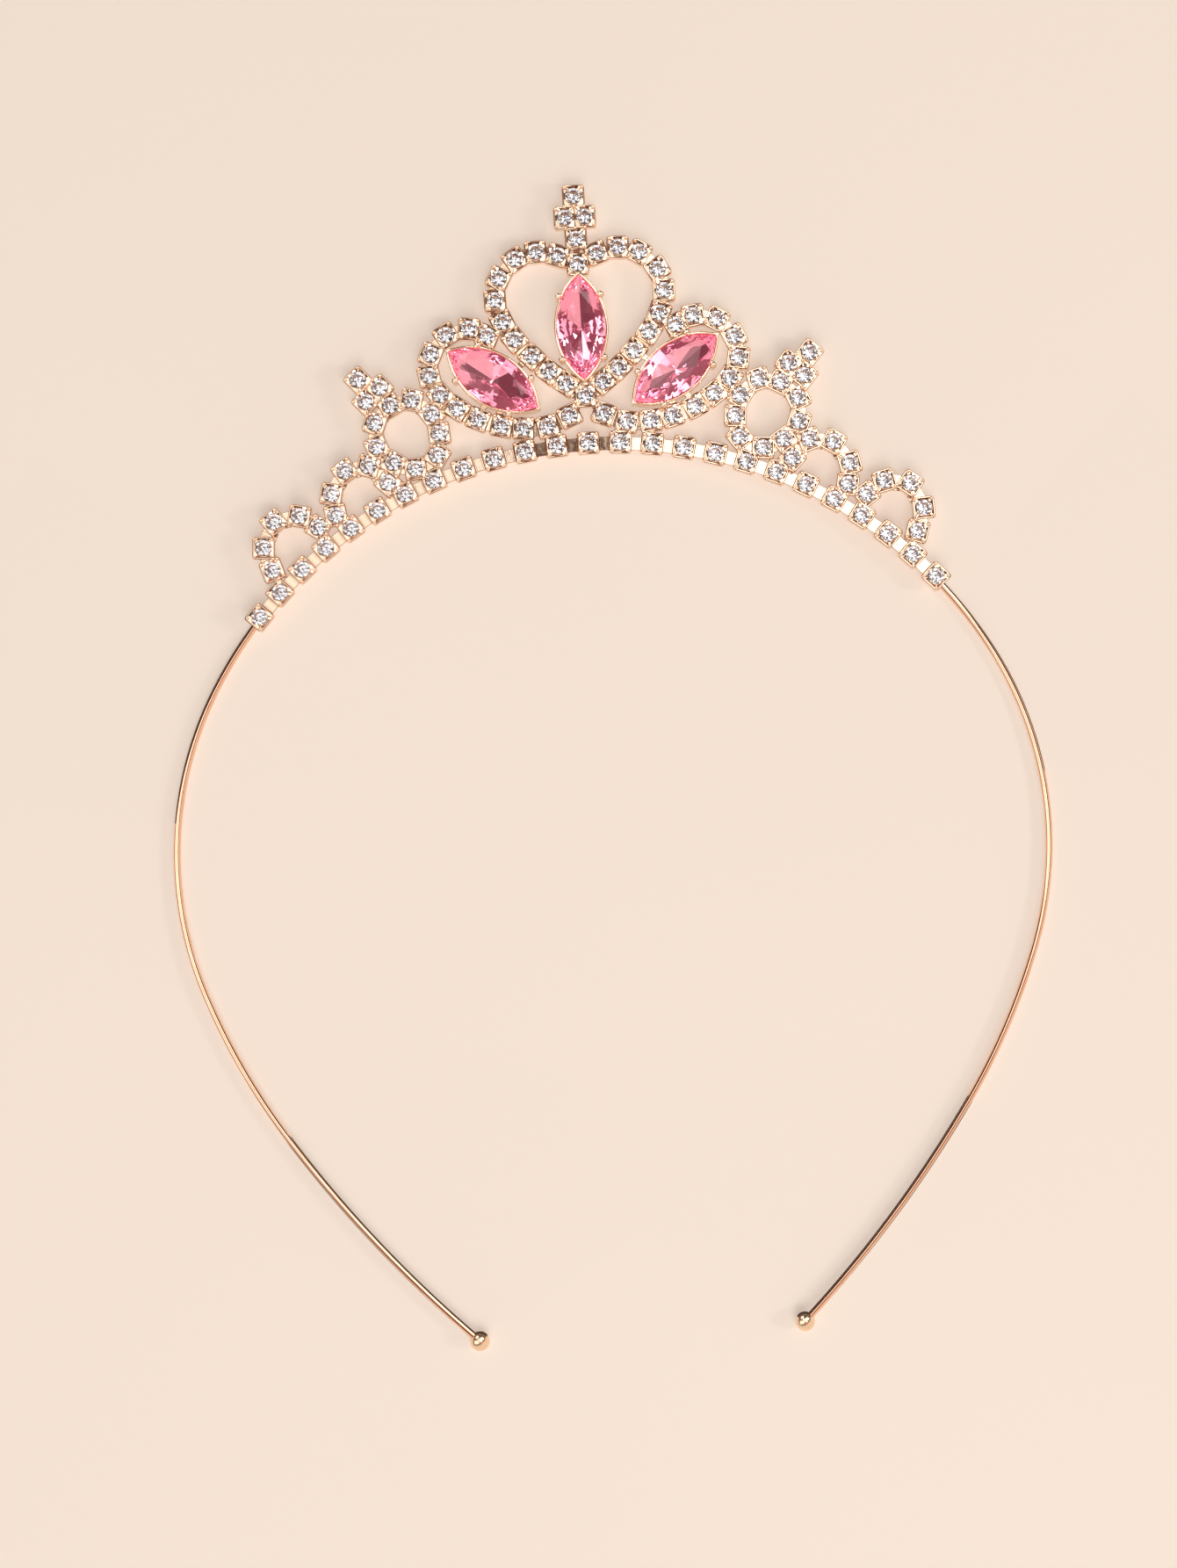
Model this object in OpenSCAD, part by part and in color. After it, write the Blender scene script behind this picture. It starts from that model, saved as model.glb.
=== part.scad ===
// Mini crown headband: an open wire hoop that carries a flat crown of rhinestone cup chain.
// It lies on its back, stones up. The hoop's plane is XY, and the crown's top points to +Y.

/* [Round stones] */
// Diameter of the round stones
stone_d = 2.65; // [2:0.05:4]
// Height of a round stone above its girdle
stone_crown = 0.55; // [0.3:0.05:1]
// Depth of a round stone below its girdle
stone_pavilion = 1.1; // [0.8:0.05:2]
// Width of the flat table as a share of the stone
table_share = 0.56; // [0.4:0.02:0.7]

/* [Cups] */
// Wall of a cup beside the stone
cup_wall = 0.225; // [0.15:0.025:0.6]
// Gap between a stone and its cup or setting
seat_gap = 0.05; // [0.03:0.01:0.1]
// Gap between two cups that stand side by side
cup_gap = 0.1; // [0.05:0.05:0.6]
// Thickness of the cup floors and link strips
floor_t = 0.45; // [0.3:0.05:0.8]
// Width of the link strips
strip_w = 1.9; // [1:0.1:2.4]
// Width of the solder bars behind the cups
bar_w = 0.9; // [0.6:0.1:1.5]
// Diameter of the prong at each corner of a cup
prong_d = 0.55; // [0.4:0.05:0.8]
// Height of a prong's tip above the cup
prong_tip_h = 0.45; // [0.2:0.05:0.8]

/* [Base chain] */
// Number of cups in the base chain
base_cups = 25; // [23:2:29]

/* [Marquise stones] */
// Length of a marquise stone
marquise_l = 15; // [12:0.5:16]
// Width of a marquise stone
marquise_w = 7; // [5:0.25:8]
// Height of a marquise stone above its girdle
marquise_crown = 1.1; // [0.6:0.1:1.6]
// Depth of a marquise stone below its girdle
marquise_pavilion = 2.1; // [1.5:0.1:3]
// Wall of a marquise setting
bezel_wall = 0.35; // [0.25:0.05:0.8]
// Diameter of the claws of a marquise setting
claw_d = 0.9; // [0.6:0.1:1.2]
// Diameter of the bead on each claw
claw_bead_d = 1.05; // [0.8:0.05:1.4]

/* [Hoop] */
// Diameter of the hoop's wire
wire_d = 1; // [0.8:0.1:1.6]
// Radius of the hoop behind the crown, at the wire's middle
hoop_r = 64.5; // [58:0.5:72]
// Gap between the wire and the crown's back
back_gap = 0.05; // [0.03:0.01:0.2]
// Diameter of the balls on the wire's ends
ball_d = 2.8; // [2:0.1:4]
// Gap between the wire and the bore of a ball
bore_gap = 0.04; // [0.03:0.01:0.1]

/* [Hidden] */
$fn = 96;

gold = "#d8a17c";
crystal = "#e6e6ec";
pink = "#ee85aa";

bore_r = stone_d / 2 + seat_gap;
cup_w = 2 * (bore_r + cup_wall);
// Most steps of the crown's plan that a marquise takes in length and in width
marquise_l_steps = 4.6;
marquise_w_steps = 2.15;
// One step is the distance between two cups side by side, or what leaves a marquise its room
step = max(cup_w + cup_gap, marquise_l / marquise_l_steps, marquise_w / marquise_w_steps);
girdle_z = floor_t + seat_gap + stone_pavilion;
// The prongs stand on the corners of the cups, a little proud of the walls
corner = cup_w / 2 - prong_d * 0.4;
// A prong keeps this far from the middle of any stone
prong_clear = bore_r + prong_d / 2 + seat_gap;
// A prong's tip narrows to this share of its width
tip_share = 0.5;

// Distance between two cups of the base chain, in steps
base_pitch = 1.39;
// Middles of the cups as [along, up] in steps, along the base chain and out from it
heart_half = [[0, 7.8], [0.6, 8.25], [1.25, 8.5], [1.9, 8.3], [2.5, 7.6], [2.75, 6.7],
    [2.65, 5.7], [2.35, 4.85], [1.85, 4], [1.3, 3.25], [0.7, 2.65], [0, 2.05]];
petal = [[3.25, 5.25], [3.8, 5.75], [4.6, 5.75], [5.3, 5.15], [5.6, 4.3], [5.45, 3.35],
    [5, 2.55], [4.35, 1.85], [3.5, 1.3], [2.65, 1], [1.65, 0.9], [0.7, 1.25]];
tall_loop = [[6.5, 3.6], [6, 2.7], [6, 1.8], [6.4, 0.95], [7.45, 0.8], [8.15, 1.45],
    [8.45, 2.4], [8.1, 3.35], [7.3, 3.75]];
middle_loop = [[8.75, 0.8], [9.1, 1.85], [10, 2.2], [10.95, 1.7], [11.3, 0.85]];
outer_loop = [[12.2, 0.9], [12.5, 1.8], [13.4, 2.35], [14.4, 1.85], [14.8, 0.9]];
top_cross_stem = [0, 8.9];
// Where a cross has the middle of its arms, and its tilt to the side in degrees
top_cross = [0, 9.85];
corner_cross = [7.7, 4.5];
corner_cross_tilt = 19;
// A cross's arms and its head, in steps from the middle of its arms
cross_arm = 0.43;
cross_head = 0.92;
// Middles of the marquise stones, and the tilt of the side ones in degrees
center_stone = [0, 5];
side_stone = [3.4, 3.3];
side_stone_tilt = 44.5;
// Longest way between two cups that a solder bar joins, in steps
bar_reach = 1.12;

// Bends a point of the plan round the hoop
function turn_at(p) = p[0] * step / hoop_r * 180 / PI;
function bend(p) =
    let(a = turn_at(p), r = hoop_r + p[1] * step) [r * sin(a), r * cos(a) - hoop_r];
function flip(p) = [-p[0], p[1]];
function flipped(points) = [for (p = points) flip(p)];
function unit(v) = v / norm(v);

// A route is a list of middles in mm
function route(points) = [for (p = points) bend(p)];
function cross_cups(at, tilt) =
    let(m = bend(at), a = tilt + turn_at(at), up = [sin(a), cos(a)], side = [cos(a), -sin(a)])
    [m - side * cross_arm * step, m + side * cross_arm * step, m + up * cross_head * step];

half_base = (base_cups - 1) / 2;
base_route = route([for (i = [-half_base:half_base]) [i * base_pitch, 0]]);
heart_route = route(concat(heart_half,
    [for (i = [len(heart_half) - 2:-1:1]) flip(heart_half[i])]));
right_petal = route(petal);
right_tall = route(tall_loop);
right_middle = route(middle_loop);
right_outer = route(outer_loop);
top_cross_cups = concat([bend(top_cross_stem)], cross_cups(top_cross, 0));
right_cross_cups = cross_cups(corner_cross, corner_cross_tilt);
right_loop = concat(right_tall, right_cross_cups);
right_small = concat(right_middle, right_outer);

// The way a chain runs at cup i, as an angle; a closed chain joins its two ends
function way_at(pts, i, closed) =
    let(n = len(pts),
        a = i > 0 ? unit(pts[i] - pts[i - 1]) : closed ? unit(pts[0] - pts[n - 1]) : [0, 0],
        b = i < n - 1 ? unit(pts[i + 1] - pts[i]) : closed ? unit(pts[0] - pts[i]) : [0, 0],
        v = a + b)
    atan2(v[1], v[0]);
function turned(pts, closed = false) =
    [for (i = [0:len(pts) - 1]) [pts[i], way_at(pts, i, closed)]];
function set_at(pts, angle) = [for (p = pts) [p, angle]];
function mirrored(cups) = [for (c = cups) [flip(c[0]), -c[1]]];

corner_cross_way = -corner_cross_tilt - turn_at(corner_cross);
right_cups = concat(turned(right_petal), turned(right_tall, true), turned(right_middle),
    turned(right_outer), set_at(right_cross_cups, corner_cross_way));
// Every cup as [middle, angle]
cups = concat(turned(base_route), turned(heart_route, true), set_at(top_cross_cups, 0),
    right_cups, mirrored(right_cups));
centers = [for (c = cups) c[0]];

// A place moved clear of each stone in turn, some rounds long
function moved_clear(p, rounds, i = 0) =
    rounds == 0 ? p :
    i == len(centers) ? moved_clear(p, rounds - 1) :
    let(v = p - centers[i], d = norm(v))
    moved_clear(d < prong_clear ? centers[i] + v * prong_clear / d : p, rounds, i + 1);
function is_clear(p) = min([for (c = centers) norm(p - c)]) > bore_r + prong_d / 2;
function corners(cup) =
    [for (s = [[1, 1], [-1, 1], [-1, -1], [1, -1]])
        cup[0] + corner * [s[0] * cos(cup[1]) - s[1] * sin(cup[1]),
                           s[0] * sin(cup[1]) + s[1] * cos(cup[1])]];
// The prongs stand at the cups' corners, clear of the neighbours' stones, without doubles
all_prongs = [for (c = cups, p = corners(c)) let(q = moved_clear(p, 3)) if (is_clear(q)) q];
prongs = [for (i = [0:len(all_prongs) - 1])
    if (len([for (j = [0:1:i - 1])
        if (norm(all_prongs[i] - all_prongs[j]) < prong_d * 0.6) j]) == 0)
        all_prongs[i]];

// Marquise stones as [middle, angle of the long way]
center_seat = [bend(center_stone), 90];
right_seat = [bend(side_stone), 90 - side_stone_tilt - turn_at(side_stone)];
left_seat = [flip(right_seat[0]), 180 - right_seat[1]];
seats = [center_seat, right_seat, left_seat];
// Cups that a solder bar joins to each setting
center_held = [heart_route[0], heart_route[11]];
right_held = [heart_route[8], right_petal[7], right_petal[8]];
held = [center_held, right_held, flipped(right_held)];

// The outline of a marquise is where two circles meet
navette_r = (marquise_l * marquise_l / 4 + marquise_w * marquise_w / 4) / marquise_w;
navette_side = navette_r - marquise_w / 2;
marquise_girdle_z = floor_t + seat_gap + marquise_pavilion;
// Claws stand at this share of the stone's half length, against the setting's wall
claw_share = 0.6;
claw_along = claw_share * marquise_l / 2;
claw_out = sqrt(pow(navette_r + bezel_wall, 2) - claw_along * claw_along) - navette_side
    + seat_gap + claw_d * 0.2;

// The wire's arcs on each side as [radius as a share of the hoop's, sweep in degrees]
free_angle = 11;
first_sweep = half_base * base_pitch * step / hoop_r * 180 / PI + free_angle;
arcs = [[1, first_sweep], [0.81, 49.5], [1.52, 14.5], [2.8, 12.5]];
function arc_start(i) =
    i == 0 ? [0, 0, 0] :
    let(s = arc_start(i - 1), r = arcs[i - 1][0] * hoop_r, h = s[2] + arcs[i - 1][1])
    [s[0] + r * (sin(h) - sin(s[2])), s[1] + r * (cos(h) - cos(s[2])), h];
wire_end = arc_start(len(arcs));
// Two arcs meet in a joint a little thicker than the wire
wire_joint_d = wire_d * 1.03;
joint_trim = wire_d * 0.05;
wire_sides = 32;
arc_sides = 200;

// The part rests on the wire behind the crown and on the two balls
rest_tilt = asin((ball_d - wire_d) / 2 / -wire_end[1]);
crown_top = bend([0, top_cross[1] + cross_head])[1] + corner + prong_d / 2;
hoop_bottom = wire_end[1] - ball_d / 2;

module rest() {
    translate([0, -(crown_top + hoop_bottom) / 2, wire_d / 2]) rotate([-rest_tilt, 0, 0])
        children();
}

// What is drawn from the crown's back is set in front of the wire
module on_wire() {
    rest() translate([0, 0, wire_d / 2 + back_gap]) children();
}

// An arc about a middle at right angles to the wire's way; it stops just inside the next joint
module arc(i) {
    s = arc_start(i);
    r = arcs[i][0] * hoop_r;
    sweep = arcs[i][1] - joint_trim * 180 / PI / r;
    translate([s[0] - r * sin(s[2]), s[1] - r * cos(s[2]), 0])
        rotate([0, 0, 90 - s[2] - arcs[i][1]])
            rotate_extrude(angle = sweep, $fn = arc_sides)
                translate([r, 0]) circle(d = wire_d, $fn = wire_sides);
}

// The arcs of one side below the crown, each begun with a joint that the two arcs end in
module wire_leg() {
    for (i = [1:len(arcs) - 1]) {
        s = arc_start(i);
        translate([s[0], s[1], 0]) sphere(d = wire_joint_d);
        arc(i);
    }
}

module headband_wire() {
    color(gold) rest() {
        translate([0, -hoop_r, 0]) rotate([0, 0, 90 - first_sweep])
            rotate_extrude(angle = 2 * first_sweep, $fn = arc_sides)
                translate([hoop_r, 0]) circle(d = wire_d, $fn = wire_sides);
        wire_leg();
        mirror([1, 0, 0]) wire_leg();
    }
}

module tip_ball() {
    color(gold) translate([wire_end[0], wire_end[1], 0]) difference() {
        sphere(d = ball_d);
        rotate([0, 0, -wire_end[2]]) rotate([0, -90, 0]) translate([0, 0, -bore_gap])
            cylinder(d = wire_d + 2 * bore_gap, h = ball_d);
    }
}

module right_tip_ball() {
    rest() tip_ball();
}

module left_tip_ball() {
    rest() mirror([1, 0, 0]) tip_ball();
}

module cup_square(cup) {
    translate(cup[0]) rotate(cup[1]) square(cup_w, center = true);
}

module bar(a, b, w) {
    v = b - a;
    translate((a + b) / 2) rotate(atan2(v[1], v[0])) square([norm(v), w], center = true);
}

module strips(pts, closed = false) {
    for (i = [1:len(pts) - 1]) bar(pts[i - 1], pts[i], strip_w);
    if (closed) bar(pts[len(pts) - 1], pts[0], strip_w);
}

module navette(grow) {
    intersection_for(s = [-1, 1])
        translate([0, s * navette_side]) circle(r = navette_r + grow);
}

module at_seat(seat) {
    translate([seat[0][0], seat[0][1], 0]) rotate(seat[1]) children();
}

// Floors, link strips, solder bars and the claws' feet
module floor_plan() {
    for (c = cups) cup_square(c);
    strips(base_route);
    strips(heart_route, true);
    for (side = [0, 1]) mirror([side, 0]) {
        strips(right_petal);
        strips(right_tall, true);
        strips(right_middle);
        strips(right_outer);
    }
    for (i = [1:len(cups) - 1], j = [0:i - 1])
        if (norm(centers[i] - centers[j]) < bar_reach * step)
            bar(centers[i], centers[j], bar_w);
    for (i = [0:2]) {
        at_seat(seats[i]) {
            navette(bezel_wall + seat_gap);
            at_claws() circle(d = claw_d);
        }
        for (p = held[i]) bar(seats[i][0], p, bar_w);
    }
}

// Cup walls with their round seats
module wall_plan() {
    difference() {
        union() for (c = cups) cup_square(c);
        for (p = centers) translate(p) circle(r = bore_r);
    }
}

module at_claws() {
    for (x = [-1, 1], y = [-1, 1]) translate([x * claw_along, y * claw_out]) children();
}

// Marquise settings with their claws, cut clear of the round seats
module setting_plan() {
    difference() {
        union() for (s = seats) at_seat(s) {
            difference() {
                navette(bezel_wall + seat_gap);
                navette(seat_gap);
            }
            at_claws() circle(d = claw_d);
        }
        for (p = centers) translate(p) circle(r = bore_r);
    }
}

module crown_frame() {
    color(gold) on_wire() {
        linear_extrude(floor_t) floor_plan();
        translate([0, 0, floor_t]) linear_extrude(girdle_z - floor_t) wall_plan();
        for (p = prongs) translate([p[0], p[1], girdle_z])
            cylinder(d1 = prong_d, d2 = prong_d * tip_share, h = prong_tip_h, $fn = 32);
        linear_extrude(marquise_girdle_z) setting_plan();
        for (s = seats) at_seat(s) at_claws()
            translate([0, 0, marquise_girdle_z + seat_gap]) sphere(d = claw_bead_d, $fn = 32);
    }
}

// A cut stone: the points of its table and girdle, then its culet, joined by facets
module cut_stone(outline, table, crown, pavilion) {
    n = len(outline);
    points = concat(
        [for (p = outline) [p[0] * table, p[1] * table, crown]],
        [for (p = outline) [p[0], p[1], 0]],
        [[0, 0, -pavilion]]);
    faces = concat(
        [[for (i = [n - 1:-1:0]) i]],
        [for (i = [0:n - 1]) [i, (i + 1) % n, n + (i + 1) % n, n + i]],
        [for (i = [0:n - 1]) [n + i, n + (i + 1) % n, 2 * n]]);
    polyhedron(points, faces);
}

stone_sides = 8;
round_outline = [for (i = [0:stone_sides - 1])
    stone_d / 2 * [cos(i * 360 / stone_sides), sin(i * 360 / stone_sides)]];
// Facets on each long side of a marquise
side_facets = 8;
half_sweep = asin(marquise_l / 2 / navette_r);
navette_half = [for (i = [0:side_facets - 1])
    let(a = half_sweep - 2 * half_sweep * i / side_facets)
    [navette_r * sin(a), navette_r * cos(a) - navette_side]];
navette_outline = concat(navette_half, -navette_half);

module stones(pts) {
    color(crystal) on_wire() for (p = pts) translate([p[0], p[1], girdle_z])
        cut_stone(round_outline, table_share, stone_crown, stone_pavilion);
}

module marquise(seat) {
    color(pink) on_wire() at_seat(seat) translate([0, 0, marquise_girdle_z])
        cut_stone(navette_outline, table_share, marquise_crown, marquise_pavilion);
}

module base_stones() { stones(base_route); }
module heart_stones() { stones(heart_route); }
module top_cross_stones() { stones(top_cross_cups); }
module right_petal_stones() { stones(right_petal); }
module left_petal_stones() { stones(flipped(right_petal)); }
module right_loop_stones() { stones(right_loop); }
module left_loop_stones() { stones(flipped(right_loop)); }
module right_small_loop_stones() { stones(right_small); }
module left_small_loop_stones() { stones(flipped(right_small)); }
module center_marquise() { marquise(center_seat); }
module right_marquise() { marquise(right_seat); }
module left_marquise() { marquise(left_seat); }

headband_wire();
left_tip_ball();
right_tip_ball();
crown_frame();
base_stones();
heart_stones();
top_cross_stones();
left_petal_stones();
right_petal_stones();
left_loop_stones();
right_loop_stones();
left_small_loop_stones();
right_small_loop_stones();
center_marquise();
left_marquise();
right_marquise();
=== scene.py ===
"""The looks of a mini crown headband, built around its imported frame.

The plan of the crown is worked out in millimetres, from the same sizes as the solids. Each piece
is turned into metres in the frame's place by one of two matrices, ON_WIRE and AT_REST.
"""

import math
import random
from collections import namedtuple

import bmesh
import bpy
from mathutils import Matrix, Vector


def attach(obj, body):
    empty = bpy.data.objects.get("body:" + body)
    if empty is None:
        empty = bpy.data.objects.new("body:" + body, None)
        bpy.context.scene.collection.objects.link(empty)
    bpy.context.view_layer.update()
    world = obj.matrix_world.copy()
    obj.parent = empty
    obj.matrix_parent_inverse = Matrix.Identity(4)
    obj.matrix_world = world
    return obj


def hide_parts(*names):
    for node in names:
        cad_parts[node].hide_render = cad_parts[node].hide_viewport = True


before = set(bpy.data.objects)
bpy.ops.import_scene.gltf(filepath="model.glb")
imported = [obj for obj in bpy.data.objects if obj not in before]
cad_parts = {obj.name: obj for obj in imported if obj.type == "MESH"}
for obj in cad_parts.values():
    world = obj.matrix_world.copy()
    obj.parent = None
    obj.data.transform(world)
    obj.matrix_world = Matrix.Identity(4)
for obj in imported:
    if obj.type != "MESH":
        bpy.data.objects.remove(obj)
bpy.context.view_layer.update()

# Sizes in millimetres, as in the solids
MM = 0.001
STONE_D = 2.65
STONE_CROWN = 0.55
STONE_PAVILION = 1.1
CUP_WALL = 0.225
SEAT_GAP = 0.05
CUP_GAP = 0.1
FLOOR_T = 0.45
STRIP_W = 1.9
BAR_W = 0.9
PRONG_D = 0.55
BASE_CUPS = 25
MARQUISE_L = 15
MARQUISE_W = 7
MARQUISE_PAVILION = 2.1
BEZEL_WALL = 0.35
CLAW_D = 0.9
WIRE_D = 1
HOOP_R = 64.5
BACK_GAP = 0.05
BALL_D = 2.8
BORE_GAP = 0.04

BORE_R = STONE_D / 2 + SEAT_GAP
CUP_W = 2 * (BORE_R + CUP_WALL)
STEP = CUP_W + CUP_GAP
GIRDLE_Z = FLOOR_T + SEAT_GAP + STONE_PAVILION
PRONG_CORNER = CUP_W / 2 - PRONG_D * 0.4
PRONG_CLEAR = BORE_R + PRONG_D / 2 + SEAT_GAP
MARQUISE_Z = FLOOR_T + SEAT_GAP + MARQUISE_PAVILION

# Middles of the cups as (along, up) in steps, along the base chain and out from it
BASE_PITCH = 1.39
HEART_HALF = [(0, 7.8), (0.6, 8.25), (1.25, 8.5), (1.9, 8.3), (2.5, 7.6), (2.75, 6.7),
              (2.65, 5.7), (2.35, 4.85), (1.85, 4), (1.3, 3.25), (0.7, 2.65), (0, 2.05)]
PETAL = [(3.25, 5.25), (3.8, 5.75), (4.6, 5.75), (5.3, 5.15), (5.6, 4.3), (5.45, 3.35),
         (5, 2.55), (4.35, 1.85), (3.5, 1.3), (2.65, 1), (1.65, 0.9), (0.7, 1.25)]
TALL_LOOP = [(6.5, 3.6), (6, 2.7), (6, 1.8), (6.4, 0.95), (7.45, 0.8), (8.15, 1.45),
             (8.45, 2.4), (8.1, 3.35), (7.3, 3.75)]
MIDDLE_LOOP = [(8.75, 0.8), (9.1, 1.85), (10, 2.2), (10.95, 1.7), (11.3, 0.85)]
OUTER_LOOP = [(12.2, 0.9), (12.5, 1.8), (13.4, 2.35), (14.4, 1.85), (14.8, 0.9)]
TOP_CROSS_STEM = (0, 8.9)
TOP_CROSS = (0, 9.85)
CORNER_CROSS = (7.7, 4.5)
CORNER_CROSS_TILT = math.radians(19)
CROSS_ARM = 0.43
CROSS_HEAD = 0.92
CENTER_STONE = (0, 5)
SIDE_STONE = (3.4, 3.3)
SIDE_STONE_TILT = math.radians(44.5)
BAR_REACH = 1.12


def turn_at(p):
    """The turn of the plan at p, as an angle from the crown's middle."""
    return p[0] * STEP / HOOP_R


def bend(p):
    """Bends a point of the plan round the hoop."""
    a = turn_at(p)
    r = HOOP_R + p[1] * STEP
    return Vector((r * math.sin(a), r * math.cos(a) - HOOP_R))


def flip(p):
    return Vector((-p[0], p[1]))


def route(points):
    return [bend(p) for p in points]


def cross_cups(at, tilt):
    """The two arms and the head of a cross."""
    middle = bend(at)
    a = tilt + turn_at(at)
    up = Vector((math.sin(a), math.cos(a)))
    side = Vector((math.cos(a), -math.sin(a)))
    return [middle - side * CROSS_ARM * STEP, middle + side * CROSS_ARM * STEP,
            middle + up * CROSS_HEAD * STEP]


def way_at(points, i, closed):
    """The way a chain runs at cup i, as an angle; a closed chain joins its two ends."""
    last = len(points) - 1
    way = Vector((0, 0))
    if i > 0 or closed:
        way += (points[i] - points[i - 1]).normalized()
    if i < last or closed:
        way += (points[0 if i == last else i + 1] - points[i]).normalized()
    return math.atan2(way.y, way.x)


def turned(points, closed=False):
    return [(p, way_at(points, i, closed)) for i, p in enumerate(points)]


def mirrored(cups):
    return [(flip(p), -a) for p, a in cups]


half_base = (BASE_CUPS - 1) // 2
base_points = route([(i * BASE_PITCH, 0) for i in range(-half_base, half_base + 1)])
heart_points = route(HEART_HALF + [(-x, y) for x, y in HEART_HALF[-2:0:-1]])
petal_points = route(PETAL)
corner_way = -CORNER_CROSS_TILT - turn_at(CORNER_CROSS)
right_corner = [(p, corner_way) for p in cross_cups(CORNER_CROSS, CORNER_CROSS_TILT)]
top_cross = [(p, 0) for p in [bend(TOP_CROSS_STEM)] + cross_cups(TOP_CROSS, 0)]

# Each chain is its cups as (middle, angle), and whether it closes on itself or has no links
OPEN, CLOSED, LOOSE = "open", "closed", "loose"
right_chains = {
    "petal": (turned(petal_points), OPEN),
    "tall_loop": (turned(route(TALL_LOOP), True), CLOSED),
    "corner_cross": (right_corner, LOOSE),
    "middle_loop": (turned(route(MIDDLE_LOOP)), OPEN),
    "outer_loop": (turned(route(OUTER_LOOP)), OPEN),
}
chains = {
    "base": (turned(base_points), OPEN),
    "heart": (turned(heart_points, True), CLOSED),
    "top_cross": (top_cross, LOOSE),
}
for part, (row, kind) in right_chains.items():
    chains["right_" + part] = (row, kind)
    chains["left_" + part] = (mirrored(row), kind)
centers = [p for row, _ in chains.values() for p, _ in row]

# Each cup sits a little out of level, and its stone with it: rises along x and y
chance = random.Random(11)
CUP_TILT = 0.012
tilts = {tuple(p): Vector((chance.uniform(-1, 1), chance.uniform(-1, 1))) * CUP_TILT
         for p in centers}

# Marquise stones as (middle, angle of the long way), and the cups that each setting is joined to
right_seat = (bend(SIDE_STONE), math.pi / 2 - SIDE_STONE_TILT - turn_at(SIDE_STONE))
left_seat = (flip(right_seat[0]), math.pi - right_seat[1])
right_held = [heart_points[8], petal_points[7], petal_points[8]]
seats = {
    "center": ((bend(CENTER_STONE), math.pi / 2), [heart_points[0], heart_points[11]]),
    "left": (left_seat, [flip(p) for p in right_held]),
    "right": (right_seat, right_held),
}
NAVETTE_R = (MARQUISE_L ** 2 / 4 + MARQUISE_W ** 2 / 4) / MARQUISE_W
NAVETTE_SIDE = NAVETTE_R - MARQUISE_W / 2
CLAW_SHARE = 0.6
CLAW_ALONG = CLAW_SHARE * MARQUISE_L / 2
CLAW_OUT = (math.sqrt((NAVETTE_R + BEZEL_WALL) ** 2 - CLAW_ALONG ** 2) - NAVETTE_SIDE
            + SEAT_GAP + CLAW_D * 0.2)

# The wire's arcs on each side as (radius as a share of the hoop's, sweep); the first runs behind
# the base chain and on past its end
BASE_END = half_base * BASE_PITCH * STEP / HOOP_R
FREE_ANGLE = math.radians(11)
ARCS = [(1, BASE_END + FREE_ANGLE), (0.81, math.radians(49.5)), (1.52, math.radians(14.5)),
        (2.8, math.radians(12.5))]
RING_TURN = math.radians(1.5)


def wire_half():
    """Points and headings along the right half of the wire, from the crown's middle."""
    line = [(0.0, 0.0, 0.0)]
    for share, sweep in ARCS:
        r = share * HOOP_R
        rings = round(sweep * share / RING_TURN)
        x, y, heading = line[-1]
        for i in range(1, rings + 1):
            h = heading + sweep * i / rings
            line.append((x + r * (math.sin(h) - math.sin(heading)),
                         y + r * (math.cos(h) - math.cos(heading)), h))
    return line


right_wire = wire_half()
wire_end = Vector(right_wire[-1][:2])
end_heading = right_wire[-1][2]
rest_tilt = math.asin((BALL_D - WIRE_D) / 2 / -wire_end.y)
crown_top = bend((0, TOP_CROSS[1] + CROSS_HEAD)).y + PRONG_CORNER + PRONG_D / 2
hoop_bottom = wire_end.y - BALL_D / 2
middle_shift = -(crown_top + hoop_bottom) / 2
AT_REST = (Matrix.Scale(MM, 4) @ Matrix.Translation((0, middle_shift, WIRE_D / 2))
           @ Matrix.Rotation(-rest_tilt, 4, "X"))
ON_WIRE = AT_REST @ Matrix.Translation((0, 0, WIRE_D / 2 + BACK_GAP))


def angles(sides):
    """The turns of a ring's points."""
    return [2 * math.pi * k / sides for k in range(sides)]


class Shape:
    """Points and faces of one piece in millimetres, and each face's place in its materials."""

    def __init__(self):
        self.points = []
        self.faces = []
        self.material = []

    def add(self, points, faces, material):
        start = len(self.points)
        self.points += points
        self.faces += [[start + i for i in face] for face in faces]
        self.material += material

    def loft(self, rings, shade_bands=()):
        """Joins rings of equal length and closes both ends.

        A band that begins at one of the listed rings gets the second material, which paints a dark
        line of shade.
        """
        n = len(rings[0])
        faces = [list(range(n))[::-1]]
        material = [0]
        for k in range(len(rings) - 1):
            low, high = k * n, (k + 1) * n
            faces += [[low + i, low + (i + 1) % n, high + (i + 1) % n, high + i] for i in range(n)]
            material += [1 if k in shade_bands else 0] * n
        faces.append([(len(rings) - 1) * n + i for i in range(n)])
        self.add([p for ring in rings for p in ring], faces, material + [0])

    def lathe(self, profile, sides, place, lean=None):
        """Turns a profile of (radius, height) about the Z axis of place; lean shifts a height."""
        rings = []
        for r, z in profile:
            shift = lean(z) if lean else Vector((0, 0, 0))
            rings.append([place @ (Vector((r * math.cos(t), r * math.sin(t), z)) + shift)
                          for t in angles(sides)])
        self.loft(rings)


# Faces that meet at less than one of these angles look smooth
CUP_CREASE = math.radians(38)
SETTING_CREASE = math.radians(50)
ROUND_CREASE = math.radians(60)
WELD = 0.0005


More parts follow.
